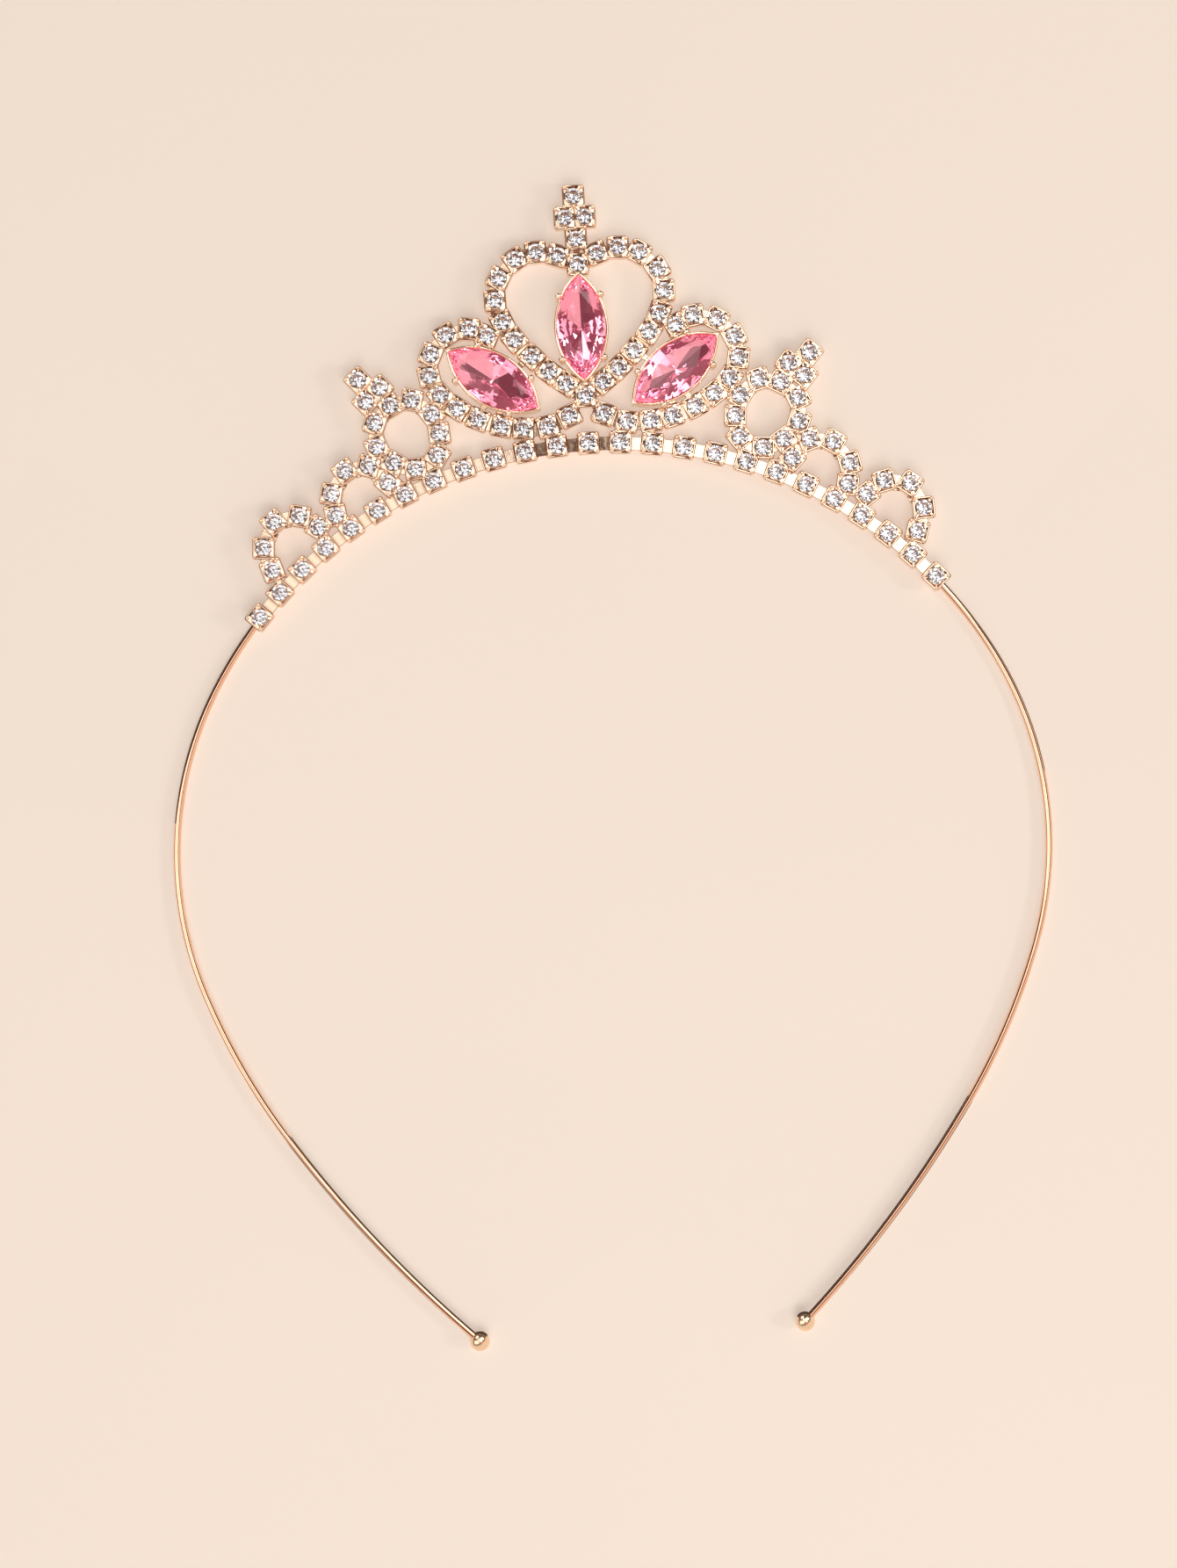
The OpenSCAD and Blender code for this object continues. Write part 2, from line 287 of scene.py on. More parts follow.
def add_piece(name, shape, matrix, materials, nodes, crease=None):
    """Makes one object of a shape, in place of the nodes; without a crease it is faceted."""
    mesh = bpy.data.meshes.new(name)
    mesh.from_pydata([matrix @ p for p in shape.points], [], shape.faces)
    for material in materials:
        mesh.materials.append(material)
    mesh.polygons.foreach_set("material_index", shape.material)
    work = bmesh.new()
    work.from_mesh(mesh)
    bmesh.ops.remove_doubles(work, verts=work.verts, dist=WELD * MM)
    bmesh.ops.recalc_face_normals(work, faces=work.faces)
    work.to_mesh(mesh)
    work.free()
    if crease:
        mesh.shade_smooth()
        mesh.set_sharp_from_angle(angle=crease)
    obj = bpy.data.objects.new(name, mesh)
    bpy.context.scene.collection.objects.link(obj)
    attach(obj, "root")
    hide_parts(*nodes)


def add_stage(name, points, faces, material):
    """Makes one object that isn't part of the headband; its points are in metres."""
    mesh = bpy.data.meshes.new(name)
    mesh.from_pydata(points, [], faces)
    mesh.materials.append(material)
    obj = bpy.data.objects.new(name, mesh)
    bpy.context.scene.collection.objects.link(obj)
    return obj


# Camera: it looks straight down on the lying part, rolled as in the photograph
IMAGE_W, IMAGE_H = 1340, 1785
SENSOR = 36
FOCAL_PX = 3000
VIEW_MIDDLE = (-2.97, -2.77)
VIEW_ROLL = math.radians(-3.5)
# Size of a pixel at the height of the cups' tops
MM_PER_PX = 0.126
CUP_TOP_Z = 2.6


def make_camera():
    data = bpy.data.cameras.new("photo_camera")
    data.sensor_width = SENSOR
    data.lens = SENSOR * FOCAL_PX / max(IMAGE_W, IMAGE_H)
    data.clip_start = 0.01
    data.clip_end = 20
    camera = bpy.data.objects.new("photo_camera", data)
    bpy.context.scene.collection.objects.link(camera)
    height = MM_PER_PX * FOCAL_PX + CUP_TOP_Z
    camera.location = Vector((VIEW_MIDDLE[0], VIEW_MIDDLE[1], height)) * MM
    camera.rotation_euler = (0, 0, VIEW_ROLL)
    bpy.context.scene.camera = camera


# A material or world while its nodes are made. Noise scales are in waves per metre.
Look = namedtuple("Look", "owner nodes links shader")
NOISE_LOW = 0.3
NOISE_HIGH = 0.7


def begin_look(owner, shader):
    owner.use_nodes = True
    tree = owner.node_tree
    return Look(owner, tree.nodes, tree.links, tree.nodes[shader])


def begin_material(name):
    return begin_look(bpy.data.materials.new(name), "Principled BSDF")


def add_noise(look, scale, detail):
    """Noise in the object's own coordinates."""
    place = look.nodes.new("ShaderNodeTexCoord")
    noise = look.nodes.new("ShaderNodeTexNoise")
    noise.inputs["Scale"].default_value = scale
    noise.inputs["Detail"].default_value = detail
    look.links.new(place.outputs["Object"], noise.inputs["Vector"])
    return noise.outputs["Fac"]


def add_tones(look, source, socket, deep, light, start=0, end=1):
    """Colours a socket from deep to light, as source goes from start to end."""
    ramp = look.nodes.new("ShaderNodeValToRGB")
    for element, position, color in zip(ramp.color_ramp.elements, (start, end), (deep, light)):
        element.position = position
        element.color = (*color, 1)
    look.links.new(source, ramp.inputs["Fac"])
    look.links.new(ramp.outputs["Color"], look.shader.inputs[socket])


def add_grain(look, scale, detail, smooth, rough):
    """A roughness that varies with noise, from smooth to rough over the noise's middle range."""
    grain = add_noise(look, scale, detail)
    spreader = look.nodes.new("ShaderNodeMapRange")
    spreader.inputs["From Min"].default_value = NOISE_LOW
    spreader.inputs["From Max"].default_value = NOISE_HIGH
    spreader.inputs["To Min"].default_value = smooth
    spreader.inputs["To Max"].default_value = rough
    look.links.new(grain, spreader.inputs["Value"])
    look.links.new(spreader.outputs["Result"], look.shader.inputs["Roughness"])


def gold(name, light, deep, smooth, rough, wave_scale, wave_depth):
    """Polished plating: two close tones, a roughness that varies and a faint waviness."""
    look = begin_material(name)
    look.shader.inputs["Metallic"].default_value = 1
    tone = add_noise(look, scale=260, detail=3)
    add_tones(look, tone, "Base Color", deep, light, start=0.35, end=0.65)
    add_grain(look, scale=1800, detail=4, smooth=smooth, rough=rough)
    wave = add_noise(look, scale=wave_scale, detail=2)
    bump = look.nodes.new("ShaderNodeBump")
    bump.inputs["Distance"].default_value = wave_depth
    bump.inputs["Strength"].default_value = 1
    look.links.new(wave, bump.inputs["Height"])
    look.links.new(bump.outputs["Normal"], look.shader.inputs["Normal"])
    return look.owner


def cut_glass(name, tint, ior):
    """Glass for a stone's crown, with hair-fine polishing marks in its gloss."""
    look = begin_material(name)
    look.shader.inputs["Base Color"].default_value = (*tint, 1)
    look.shader.inputs["Transmission Weight"].default_value = 1
    look.shader.inputs["IOR"].default_value = ior
    add_grain(look, scale=3000, detail=2, smooth=0, rough=0.012)
    return look.owner


def foil(name, light, deep, glow):
    """The foil behind a stone's lower facets; its glow stands for light strayed in the stone."""
    look = begin_material(name)
    look.shader.inputs["Metallic"].default_value = 1
    look.shader.inputs["Emission Color"].default_value = (*glow, 1)
    look.shader.inputs["Emission Strength"].default_value = 1
    tone = add_noise(look, scale=700, detail=2)
    add_tones(look, tone, "Base Color", deep, light, start=0.4, end=0.6)
    add_grain(look, scale=2500, detail=2, smooth=0.01, rough=0.03)
    return look.owner


# Floor: half its side in metres, how far under the part it lies, and how strongly it glows
FLOOR_HALF = 3
FLOOR_DROP = 0.02
FLOOR_GLOW = 0.53


def make_floor():
    """A plain pale floor under the part, lit partly from below as a light table is."""
    look = begin_material("pale_floor")
    look.shader.inputs["Roughness"].default_value = 0.75
    look.shader.inputs["Specular IOR Level"].default_value = 0.2
    look.shader.inputs["Emission Strength"].default_value = FLOOR_GLOW
    tone = add_noise(look, scale=3, detail=3)
    add_tones(look, tone, "Base Color", (0.62, 0.53, 0.46), (0.65, 0.56, 0.49))
    add_tones(look, tone, "Emission Color", (0.83, 0.72, 0.62), (0.87, 0.76, 0.67))
    corners = [(x * FLOOR_HALF, y * FLOOR_HALF, 0) for x, y in ((-1, -1), (1, -1), (1, 1), (-1, 1))]
    floor = add_stage("pale_floor", corners, [(0, 1, 2, 3)], look.owner)
    floor.location.z = -FLOOR_DROP * MM


# Lights, in metres
WHITE = (1, 0.99, 0.97)
PEACH = (1, 0.82, 0.72)
ROSE = (1, 0.42, 0.35)
SPARK_XS = (-0.33, 0.02, 0.42)
DARK_SIDE = Vector((-0.42, 0.72, 0.55)).normalized()
DARK_FROM = 0.12


def make_world():
    """Surroundings that are dark overhead and at the back, and pale in front and on the right."""
    world = bpy.data.worlds.new("studio_room")
    bpy.context.scene.world = world
    look = begin_look(world, "Background")
    place = look.nodes.new("ShaderNodeTexCoord")
    facing = look.nodes.new("ShaderNodeVectorMath")
    facing.operation = "DOT_PRODUCT"
    facing.inputs[1].default_value = DARK_SIDE
    look.links.new(place.outputs["Generated"], facing.inputs[0])
    pale, dark = (0.88, 0.77, 0.67), (0.075, 0.05, 0.042)
    add_tones(look, facing.outputs["Value"], "Color", pale, dark, end=DARK_FROM)


def area_light(name, place, size, radiance, color=WHITE, down=False):
    """A rectangle of light that faces the part's middle, or straight down."""
    data = bpy.data.lights.new(name, "AREA")
    data.shape = "RECTANGLE"
    data.size, data.size_y = size
    data.energy = math.pi * size[0] * size[1] * radiance
    data.color = color
    light = bpy.data.objects.new(name, data)
    light.location = place
    target = Vector((place[0], place[1], 0)) if down else Vector((0, 0, 0))
    light.rotation_euler = (target - Vector(place)).to_track_quat("-Z", "Y").to_euler()
    light.visible_camera = False
    bpy.context.scene.collection.objects.link(light)
    return light


def make_panels():
    """Panels that gloss mirrors. Those for the metal alone can't be seen through the stones."""
    stone_panels = [
        area_light("right_panel", (0.2, 0.15, 0.8), size=(0.34, 0.42), radiance=2.3, down=True),
        area_light("left_panel", (-0.196, 0.15, 0.8), size=(0.328, 0.42), radiance=1.15, down=True),
        area_light("right_back_panel", (0.45, 0.5, 0.6), size=(0.4, 0.36), radiance=3.5),
        area_light("left_back_panel", (-0.49, 0.75, 0.4), size=(0.5, 0.4), radiance=2.5),
    ]
    stone_panels += [area_light("spark_%d" % i, (x, 0.5, 0.8), size=(0.1, 0.1), radiance=14)
                     for i, x in enumerate(SPARK_XS)]
    metal_panels = [
        area_light("middle_panel", (-0.001, 0.26, 0.8), size=(0.062, 0.19), radiance=0.13,
                   color=PEACH, down=True),
        area_light("warm_panel", (0.25, -0.3, 0.8), size=(1.4, 0.4), radiance=0.3,
                   color=ROSE, down=True),
        area_light("side_panel", (-0.62, -0.12, 0.66), size=(0.6, 0.9), radiance=1.5),
    ]
    for panel in metal_panels:
        panel.visible_transmission = False
    for panel in stone_panels + metal_panels:
        panel.visible_diffuse = False


def make_floor_lights():
    """A wide light for the floor's tone, and a low one on the right for the shadows."""
    top_light = area_light("top_light", (0.1, -0.6, 1.2), size=(0.9, 0.9), radiance=3.1)
    top_light.visible_glossy = False
    top_light.visible_transmission = False
    low_light = area_light("low_light", (1, -0.15, 0.6), size=(0.16, 0.16), radiance=28)
    low_light.visible_glossy = False


def set_view():
    """Plain colours, and enough bounces for light to find its way out of the stones."""
    scene = bpy.context.scene
    scene.view_settings.view_transform = "Standard"
    scene.view_settings.look = "None"
    scene.cycles.max_bounces = 24
    scene.cycles.glossy_bounces = 16
    scene.cycles.transmission_bounces = 16


# Flags: how far from the wire's middle line they begin and end, their height, the headings
# between which they follow a leg, and the fan above a ball
FLAG_NEAR = 0.45
FLAG_FAR = 40
FLAG_Z = 0.03
FLAG_START = BASE_END
FLAG_END = math.radians(82)
FAN_NEAR = 0.5 * BALL_D
FAN_HALF = math.radians(60)
FAN_STEPS = 6


def make_flags():
    """Dark sheets outside the hoop's upper legs and above the balls, seen only in polish."""
    look = begin_material("black_flag")
    look.shader.inputs["Base Color"].default_value = (0.07, 0.055, 0.045, 1)
    add_grain(look, scale=40, detail=2, smooth=0.85, rough=0.95)
    lift = Vector((0, middle_shift, FLAG_Z))
    for name, side in (("left", -1), ("right", 1)):
        leg = [(Vector((side * x, y)), side * h, FLAG_NEAR)
               for x, y, h in right_wire if FLAG_START < h < FLAG_END]
        ball = Vector((side * wire_end.x, wire_end.y))
        fan = [(ball, FAN_HALF * i / FAN_STEPS, FAN_NEAR) for i in range(-FAN_STEPS, FAN_STEPS + 1)]
        points, faces = [], []
        for row in (leg, fan):
            start = len(points)
            for at, heading, near in row:
                out = Vector((math.sin(heading), math.cos(heading)))
                points += [((at + out * far).to_3d() + lift) * MM for far in (near, FLAG_FAR)]
            faces += [[start + 2 * i + k for k in (0, 1, 3, 2)] for i in range(len(row) - 1)]
        flag = add_stage(name + "_flag", points, faces, look.owner)
        flag.visible_camera = False
        flag.visible_diffuse = False
        flag.visible_transmission = False
        flag.visible_shadow = False


# Cups
CORNERS = ((1, 1), (-1, 1), (-1, -1), (1, -1))
CORNER_STEPS = 4
SIDE_STEPS = 4
CUP_CORNER_R = 0.34
WALL_CLEAR = BORE_R + 0.05
NEIGHBOUR_REACH = CUP_W * 1.5
# Height of the rim at the middle of a side, at a corner, and how it rises between them
RIM_SIDE = 1.68
RIM_CORNER = 1.72
RIM_CURVE = 1.5
# Wall as (drawn in by, height), rim as (drawn in by, below its crest), seat as (radius, height)
CUP_WALL_LINE = [(0.16, 0), (0.05, 0.04), (0, 0.16), (0, 0.9)]
CUP_RIM_LINE = [(0, 0.12), (0.1, 0), (0.19, 0)]
CUP_LEDGE = (0.25, 1.61)
RING_R = 1.09
RING_TOP = 1.83
CUP_SEAT_LINE = [(RING_R + 0.12, 1.665), (RING_R + 0.07, RING_TOP), (RING_R, RING_TOP - 0.02),
                 (BORE_R - 0.03, GIRDLE_Z), (BORE_R - 0.06, GIRDLE_Z - 0.5), (BORE_R - 0.2, 0.36)]
# Bands whose faces take the second material, painted shade: dark lines at the rim's outer rounding,
# at its inner step and on the outer slope of the stone's ring.
CUP_SHADE_BANDS = (4, 6, 8)


def cup_outline(inset):
    """A square with round corners, drawn in by inset, anticlockwise from the right side's top."""
    half = CUP_W / 2 - inset
    r = CUP_CORNER_R - inset
    points = []
    for quarter in range(4):
        turn = Matrix.Rotation(quarter * math.pi / 2, 2)
        for i in range(CORNER_STEPS + 1):
            a = math.pi / 2 * i / CORNER_STEPS
            points.append(turn @ Vector((half - r + r * math.cos(a), half - r + r * math.sin(a))))
        for i in range(1, SIDE_STEPS):
            along = (half - r) * (1 - 2 * i / SIDE_STEPS)
            points.append(turn @ Vector((along, half)))
    return points


def kept_clear(p, others, clear):
    """p moved out of the round seats of the neighbours."""
    for c in others:
        way = p - c
        if way.length < clear:
            p = c + way.normalized() * clear
    return p


def add_cup(shape, middle, angle):
    """One cup: a square wall with a rounded foot, a rim that rises at the corners and a seat."""
    turn = Matrix.Rotation(angle, 2)
    others = [c for c in centers if 0 < (c - middle).length < NEIGHBOUR_REACH]
    full = cup_outline(0)
    rise = RIM_CORNER - RIM_SIDE
    crest = [RIM_SIDE + rise * min(1, abs(p.x * p.y) / (CUP_W / 2) ** 2) ** RIM_CURVE for p in full]
    seat = [p.normalized() for p in full]
    tilt = tilts[tuple(middle)]

    def raised(ring, heights):
        return [Vector((p.x, p.y, z + tilt.dot(p - middle) * min(1, z)))
                for p, z in zip(ring, heights)]

    def outer(inset, heights):
        ring = [kept_clear(middle + turn @ p, others, WALL_CLEAR) for p in cup_outline(inset)]
        return raised(ring, heights)

    def level(z):
        return [z] * len(full)

    rings = [outer(inset, level(z)) for inset, z in CUP_WALL_LINE]
    rings += [outer(inset, [z - drop for z in crest]) for inset, drop in CUP_RIM_LINE]
    rings.append(outer(CUP_LEDGE[0], level(CUP_LEDGE[1])))
    rings += [raised([middle + turn @ (p * r) for p in seat], level(z)) for r, z in CUP_SEAT_LINE]
    shape.loft(rings, CUP_SHADE_BANDS)


def add_slab(shape, middle, angle, size, top, bevel, tilt=Vector((0, 0))):
    """A plate on the crown's back with bevelled edges; tilt raises its top along x and y."""
    turn = Matrix.Rotation(angle, 2)
    rings = []
    for inset, z in ((bevel, 0), (0, bevel), (0, top - bevel), (bevel, top)):
        x, y = size[0] / 2 - inset, size[1] / 2 - inset
        corners = [Vector((x * sx, y * sy)) for sx, sy in CORNERS]
        rings.append([(middle + turn @ p).to_3d() + Vector((0, 0, z + tilt.dot(p) * z))
                      for p in corners])
    # The top bevel takes the second material, painted shade drawn as a dark edge line.
    shape.loft(rings, shade_bands=(2,))


# Link plates: the flat strips between the cups of a chain, with a raised lip against each cup
PLATE_TOP = 0.6
PLATE_BEVEL = 0.06
PLATE_INTO_CUP = 0.3
PLATE_TILT = 1.2
LIP_W = 0.24
LIP_RISE = 0.1
LIP_OVER = 0.06
LIP_BEVEL = 0.05
LOOP_STRIP_W = 2.3


def add_link(shape, a, b, width):
    """The plate between two cups, and its lips where the cups stand well apart."""
    way = b - a
    middle = (a + b) / 2
    angle = math.atan2(way.y, way.x)
    tilt = (tilts[tuple(a)] - tilts[tuple(b)]) * PLATE_TILT
    length = way.length - CUP_W + 2 * PLATE_INTO_CUP
    add_slab(shape, middle, angle, (length, width), PLATE_TOP, PLATE_BEVEL, tilt)
    gap = way.length - CUP_W
    lip = (LIP_W, width + LIP_OVER)
    if gap > 3 * LIP_W:
        for side in (-1, 1):
            at = middle + way.normalized() * side * (gap - LIP_W) / 2
            add_slab(shape, at, angle, lip, PLATE_TOP + LIP_RISE, LIP_BEVEL, tilt)


def linked(row, kind):
    """Pairs of neighbours in a chain."""
    points = [p for p, _ in row]
    if kind == LOOSE:
        return []
    pairs = list(zip(points, points[1:]))
    if kind == CLOSED:
        pairs.append((points[-1], points[0]))
    return pairs


def make_chains(metals):
    for name, (row, kind) in chains.items():
        shape = Shape()
        for middle, angle in row:
            add_cup(shape, middle, angle)
        width = STRIP_W if name == "base" else LOOP_STRIP_W
        for a, b in linked(row, kind):
            add_link(shape, a, b, width)
        add_piece(name + "_cups", shape, ON_WIRE, metals, ["crown_frame"], CUP_CREASE)


BAR_TOP = 0.5
BAR_BEVEL = 0.08


def make_solder(metals):
    """Small bars that join neighbouring cups of different chains, and cups to settings."""
    in_chain = {frozenset((tuple(a), tuple(b)))
                for row, kind in chains.values() for a, b in linked(row, kind)}
    pairs = [(a, b) for i, a in enumerate(centers) for b in centers[:i]
             if (a - b).length < BAR_REACH * STEP
             and frozenset((tuple(a), tuple(b))) not in in_chain]
    for (middle, _), held in seats.values():
        pairs += [(middle, p) for p in held]
    shape = Shape()
    for a, b in pairs:
        way = b - a
        size = (way.length - CUP_W / 2, BAR_W)
        add_slab(shape, (a + b) / 2, math.atan2(way.y, way.x), size, BAR_TOP, BAR_BEVEL)
    add_piece("solder_bars", shape, ON_WIRE, metals, ["crown_frame"], CUP_CREASE)


# Prongs: a bead as (radius, height) that leans over its stone from the neck up
PRONG_PROFILE = [(0.19, 0.4), (0.2, 1.4), (0.22, 1.56), (0.26, 1.68), (0.28, 1.8), (0.26, 1.92),
                 (0.2, 2.01), (0.11, 2.06), (0.02, 2.07)]
PRONG_SIDES = 12
PRONG_LEAN = 0.2
PRONG_NECK_Z = 1.4
PRONG_HEAD_H = 0.6
PRONG_APART = PRONG_D * 0.6
SETTLING_ROUNDS = 3


def prong_places():
    """Corners of the cups, moved clear of the stones, without doubles."""
    places = []
    for row, _ in chains.values():
        for middle, angle in row:
            turn = Matrix.Rotation(angle, 2)
            for corner in CORNERS:
                p = middle + turn @ Vector(corner) * PRONG_CORNER
                for _ in range(SETTLING_ROUNDS):
                    p = kept_clear(p, centers, PRONG_CLEAR)
                if min((c - p).length for c in centers) > BORE_R + PRONG_D / 2:
                    places.append(p)
    kept = []
    for p in places:
        if all((p - q).length >= PRONG_APART for q in kept):
            kept.append(p)
    return kept


def leaning(way):
    """The shift of a height for what leans along way from the neck up."""
    return lambda z: way * max(0, (z - PRONG_NECK_Z) / PRONG_HEAD_H)


def make_prongs(metals):
    shape = Shape()
    for p in prong_places():
        nearest = min(centers, key=lambda c: (c - p).length)
        lean = leaning((nearest - p).normalized().to_3d() * PRONG_LEAN)
        shape.lathe(PRONG_PROFILE, PRONG_SIDES, Matrix.Translation(p.to_3d()), lean)
    add_piece("cup_prongs", shape, ON_WIRE, metals, ["crown_frame"], ROUND_CREASE)


def navette(grow, steps):
    """Where two circles meet, grown outwards: points from the right tip, anticlockwise."""
    r = NAVETTE_R + grow
    half = math.acos(NAVETTE_SIDE / r)
    side = []
    for i in range(steps):
        a = half - 2 * half * i / steps
        side.append(Vector((r * math.sin(a), r * math.cos(a) - NAVETTE_SIDE)))
    return side + [-p for p in side]


# Settings: the wall as (grown by, height), the claws and the beads on them as (radius, height)
BEZEL_PROFILE = [(0.2, 0), (0.36, 0.06), (0.4, 0.2), (0.4, 2.3), (0.39, 2.6), (0.34, 2.7),
                 (0.24, 2.76), (0.12, 2.74), (0.04, 2.66), (0.03, 2.5), (0.05, 2.2), (0.05, 0.47)]
BEZEL_STEPS = 28
CLAW_PROFILE = [(0.34, 0.05), (0.42, 0.15), (0.42, 1.9), (0.36, 2.15), (0.4, 2.3), (0.49, 2.5),
                (0.52, 2.7), (0.48, 2.92), (0.36, 3.08), (0.18, 3.16), (0.02, 3.18)]
CLAW_SIDES = 20
CLAW_TIP_PROFILE = [(0.2, 2.4), (0.28, 2.7), (0.3, 2.9), (0.24, 3.06), (0.12, 3.13), (0.02, 3.15)]
CLAW_TIP_SIDES = 16
CLAW_TIP_ALONG = 0.1
CLAW_TIP_IN = 0.45


def make_settings(metals):
    """The three settings: a wall with a round rim, and four claws with a tip over the stone."""
    for name, ((middle, angle), _) in seats.items():
        shape = Shape()
        place = Matrix.Translation(middle.to_3d()) @ Matrix.Rotation(angle, 4, "Z")
        shape.loft([[place @ (p.to_3d() + Vector((0, 0, z))) for p in navette(grow, BEZEL_STEPS)]
                    for grow, z in BEZEL_PROFILE])
        for x in (-1, 1):
            for y in (-1, 1):
                at = Vector((x * CLAW_ALONG, y * CLAW_OUT, 0))
                tip = at + Vector((x * CLAW_TIP_ALONG, -y * CLAW_TIP_IN, 0))
                shape.lathe(CLAW_PROFILE, CLAW_SIDES, place @ Matrix.Translation(at))
                shape.lathe(CLAW_TIP_PROFILE, CLAW_TIP_SIDES, place @ Matrix.Translation(tip))
        add_piece(name + "_setting", shape, ON_WIRE, metals, ["crown_frame"],
                  SETTING_CREASE)


# Cuts: how far out the table, the star facets and the lower facets reach, as shares of the
# outline, then the crown's height, the pavilion's depth and the girdle's height
Cut = namedtuple("Cut", "table star lower crown pavilion girdle")
ROUND_CUT = Cut(table=0.58, star=0.8, lower=0.85, crown=STONE_CROWN, pavilion=1.2, girdle=0.05)
ROUND_MAINS = 8
MARQUISE_CUT = Cut(table=0.64, star=0.83, lower=0.6, crown=1, pavilion=1.6, girdle=0.08)
MARQUISE_MAINS = 8


def add_brilliant(shape, place, outline, cut):
    """A cut stone: table, stars, kites and halves above the girdle, mains and halves below."""
    n = len(outline) // 2
    fold = math.cos(math.pi / n)
    star_z = cut.crown * (1 - cut.star * fold) / (1 - cut.table)
    lower_z = -cut.pavilion * (1 - cut.lower * fold)

    def ring(points, share, z):
        return [place @ ((p * share).to_3d() + Vector((0, 0, z))) for p in points]

    mains, halves = outline[::2], outline[1::2]
    points = (ring(mains, cut.table, cut.crown) + ring(halves, cut.star, star_z)
              + ring(outline, 1, 0) + ring(outline, 1, -cut.girdle)
              + ring(halves, cut.lower, lower_z) + [place @ Vector((0, 0, -cut.pavilion))])
    table, star, girdle, under, lower, culet = 0, n, 2 * n, 4 * n, 6 * n, 7 * n
    glass = [list(range(n))]
    mirror = []
    for i in range(n):
        after, before = (i + 1) % n, (i - 1) % n
        a, b, c = 2 * i, 2 * i + 1, 2 * after
        glass += [
            [table + i, star + i, table + after],
            [table + i, star + before, girdle + a, star + i],
            [star + i, girdle + a, girdle + b],
            [star + i, girdle + b, girdle + c],
            [girdle + a, under + a, under + b, girdle + b],
            [girdle + b, under + b, under + c, girdle + c],
        ]
        mirror += [
            [lower + i, under + b, under + a],
            [lower + i, under + c, under + b],
            [culet, under + a, lower + before],
            [culet, lower + i, under + a],
        ]
    shape.add(points, glass + mirror, [0] * len(glass) + [1] * len(mirror))


ROUND_STONES = {
    "base_stones": ["base"],
    "heart_stones": ["heart"],
    "top_cross_stones": ["top_cross"],
    "left_petal_stones": ["left_petal"],
    "right_petal_stones": ["right_petal"],
    "left_loop_stones": ["left_tall_loop", "left_corner_cross"],
    "right_loop_stones": ["right_tall_loop", "right_corner_cross"],
    "left_small_loop_stones": ["left_middle_loop", "left_outer_loop"],
    "right_small_loop_stones": ["right_middle_loop", "right_outer_loop"],
}


def make_round_stones(glass, mirror):
    """Round stones, each with a turn of its own and its cup's tilt."""
    outline = [Vector((math.cos(a), math.sin(a))) * STONE_D / 2 for a in angles(2 * ROUND_MAINS)]
    for node, names in ROUND_STONES.items():
        shape = Shape()
        for middle, _ in [cup for name in names for cup in chains[name][0]]:
            tilt = tilts[tuple(middle)]
            place = (Matrix.Translation((middle.x, middle.y, GIRDLE_Z))
                     @ Matrix.Rotation(tilt.y, 4, "X") @ Matrix.Rotation(-tilt.x, 4, "Y")
                     @ Matrix.Rotation(chance.uniform(0, 2 * math.pi / ROUND_MAINS), 4, "Z"))
            add_brilliant(shape, place, outline, ROUND_CUT)
        add_piece(node.replace("stones", "crystals"), shape, ON_WIRE, [glass, mirror],
                  [node])


def make_marquises(glass, mirror):
    outline = navette(0, MARQUISE_MAINS)
    for name, ((middle, angle), _) in seats.items():
        shape = Shape()
        place = (Matrix.Translation((middle.x, middle.y, MARQUISE_Z))
                 @ Matrix.Rotation(angle, 4, "Z"))
        add_brilliant(shape, place, outline, MARQUISE_CUT)
        add_piece(name + "_navette", shape, ON_WIRE, [glass, mirror],
                  [name + "_marquise"])


WIRE_SIDES = 24


def make_wire(metals):
    """The whole wire as one smooth tube, from one ball's middle to the other's."""
    up = Vector((0, 0, 1))
    rings = []
    for x, y, h in [(-x, y, -h) for x, y, h in right_wire[:0:-1]] + right_wire:
        out = Vector((math.sin(h), math.cos(h), 0))
        rings.append([Vector((x, y, 0)) + WIRE_D / 2 * (out * math.cos(t) + up * math.sin(t))
                      for t in angles(WIRE_SIDES)])
    shape = Shape()
    shape.loft(rings)
    add_piece("hoop_wire", shape, AT_REST, metals, ["headband_wire"], ROUND_CREASE)


BALL_SIDES = 40
BALL_STEPS = 26
BALL_LIP = 0.06
POLE_R = 0.02


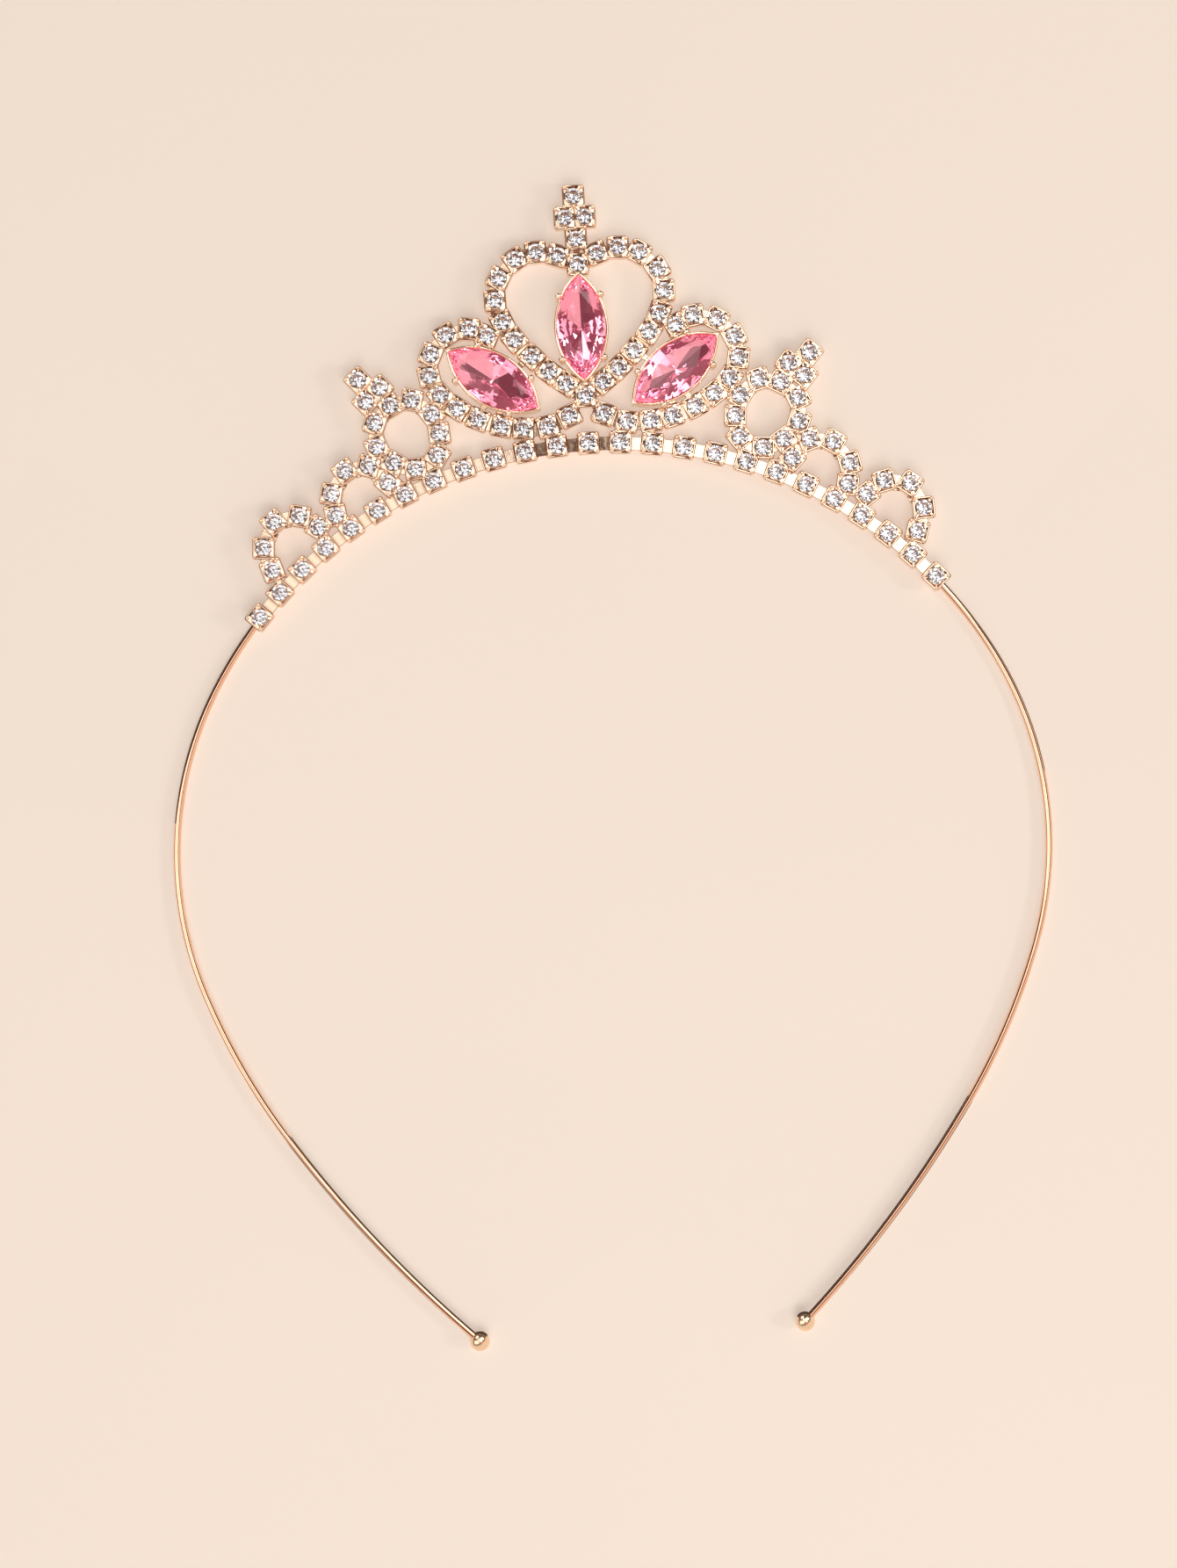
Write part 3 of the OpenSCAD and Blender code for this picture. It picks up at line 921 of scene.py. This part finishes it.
def make_balls(metals):
    """A ball on each end of the wire, with a rounded lip round its blind bore."""
    r = BALL_D / 2
    bore = WIRE_D / 2 + BORE_GAP
    stop = math.asin((bore + BALL_LIP) / r)
    mouth = r * math.cos(stop)
    sweep = [(math.pi - stop) * i / BALL_STEPS for i in range(1, BALL_STEPS + 1)]
    profile = [(POLE_R, r)] + [(r * math.sin(a), r * math.cos(a)) for a in sweep]
    profile += [(bore + BALL_LIP * 0.4, -mouth - BALL_LIP * 0.2), (bore, -mouth + BALL_LIP * 0.6),
                (bore, BORE_GAP)]
    for name, side in (("left", -1), ("right", 1)):
        along = Vector((side * math.cos(end_heading), -math.sin(end_heading), 0))
        place = (Matrix.Translation((side * wire_end.x, wire_end.y, 0))
                 @ along.to_track_quat("Z", "Y").to_matrix().to_4x4())
        shape = Shape()
        shape.lathe(profile, BALL_SIDES, place)
        add_piece(name + "_end_ball", shape, AT_REST, metals, [name + "_tip_ball"],
                  ROUND_CREASE)


make_camera()
make_floor()
make_world()
make_panels()
make_floor_lights()
set_view()
crown_gold = gold("crown_gold", light=(0.98, 0.76, 0.58), deep=(0.95, 0.7, 0.51),
                  smooth=0.05, rough=0.12, wave_scale=900, wave_depth=0.006 * MM)
# A dark brown gold for the thin lines along cup rims and plate bevels: painted shade, not a colour
# the metal has.
shade_line_gold = gold("shade_line_gold", light=(0.4, 0.2, 0.11), deep=(0.3, 0.14, 0.07),
                 smooth=0.2, rough=0.35, wave_scale=900, wave_depth=0.01 * MM)
wire_gold = gold("wire_gold", light=(0.94, 0.62, 0.44), deep=(0.91, 0.56, 0.38),
                 smooth=0.05, rough=0.1, wave_scale=300, wave_depth=0.002 * MM)
ball_gold = gold("ball_gold", light=(0.98, 0.74, 0.53), deep=(0.96, 0.7, 0.48),
                 smooth=0.22, rough=0.28, wave_scale=300, wave_depth=0.002 * MM)
clear_glass = cut_glass("clear_glass", tint=(1, 1, 1), ior=1.56)
pink_glass = cut_glass("pink_glass", tint=(1, 0.45, 0.56), ior=1.45)
silver_foil = foil("silver_foil", light=(0.91, 0.9, 0.92), deep=(0.82, 0.81, 0.83),
                   glow=(0.014, 0.012, 0.014))
pink_foil = foil("pink_foil", light=(1, 0.94, 0.97), deep=(0.98, 0.89, 0.94),
                 glow=(0.13, 0.028, 0.045))
make_chains([crown_gold, shade_line_gold])
make_solder([crown_gold, shade_line_gold])
make_prongs([crown_gold])
make_settings([crown_gold])
make_round_stones(clear_glass, silver_foil)
make_marquises(pink_glass, pink_foil)
make_wire([wire_gold])
make_balls([ball_gold])
make_flags()
